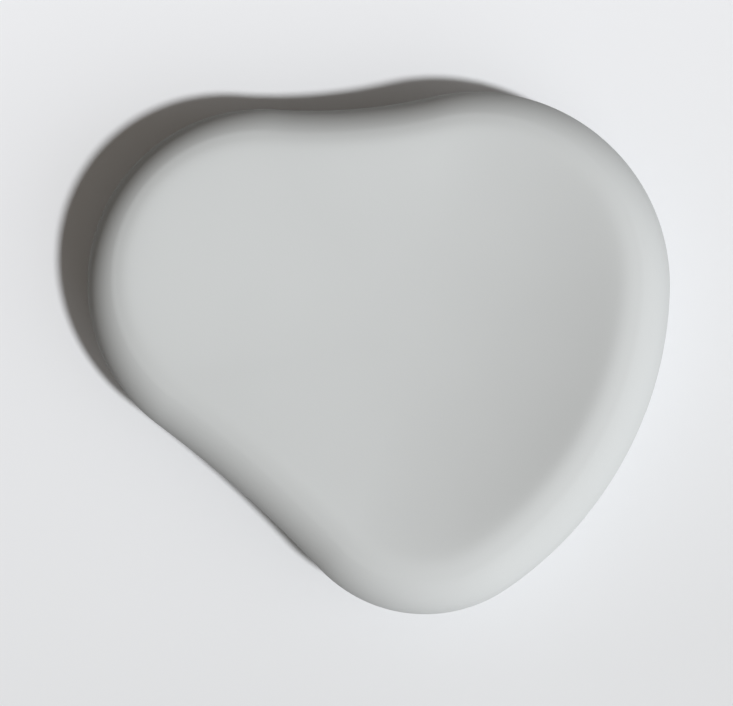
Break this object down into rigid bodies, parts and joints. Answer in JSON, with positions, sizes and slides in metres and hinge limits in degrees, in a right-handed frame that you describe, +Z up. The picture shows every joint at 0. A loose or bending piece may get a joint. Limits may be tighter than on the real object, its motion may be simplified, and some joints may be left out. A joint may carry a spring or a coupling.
{
  "type": "retainer case",
  "caption": "Slim soft clamshell case for a dental retainer, with a pebble outline, a dished lid, a moulded flexible hinge and hidden magnets that hold it shut.",
  "frame": {"origin": "on the flat underside that the case rests on, at the middle of the outline", "axes": "+Z up through the lid; -X towards the front lobe, where a thumb opens the case; +X towards the hinge side; the hinge turns about a line parallel to Y"},
  "size_m": [0.0872, 0.0792, 0.0185],
  "materials": {
    "silicone": "fine matt moulded silicone, light grey",
    "stiff_plastic": "plain moulded stiff plastic, off-white",
    "nickel_plate": "nickel-plated disc magnet"
  },
  "bodies": {
    "base": {"base_shell": "silicone", "base_ring": "stiff_plastic", "base_magnet_left": "nickel_plate", "base_magnet_right": "nickel_plate", "hinge_web": "silicone"},
    "lid": {"lid_shell": "silicone", "lid_ring": "stiff_plastic", "lid_magnet_left": "nickel_plate", "lid_magnet_right": "nickel_plate"}
  },
  "joints": [
    {"name": "lid_hinge", "type": "hinge", "parent": "base", "child": "lid", "pos_m": [0.04376, -0.00261, 0.00885], "axis": [0, 1, 0], "range_deg": [0, 180], "deforming": ["hinge_web"]}
  ]
}
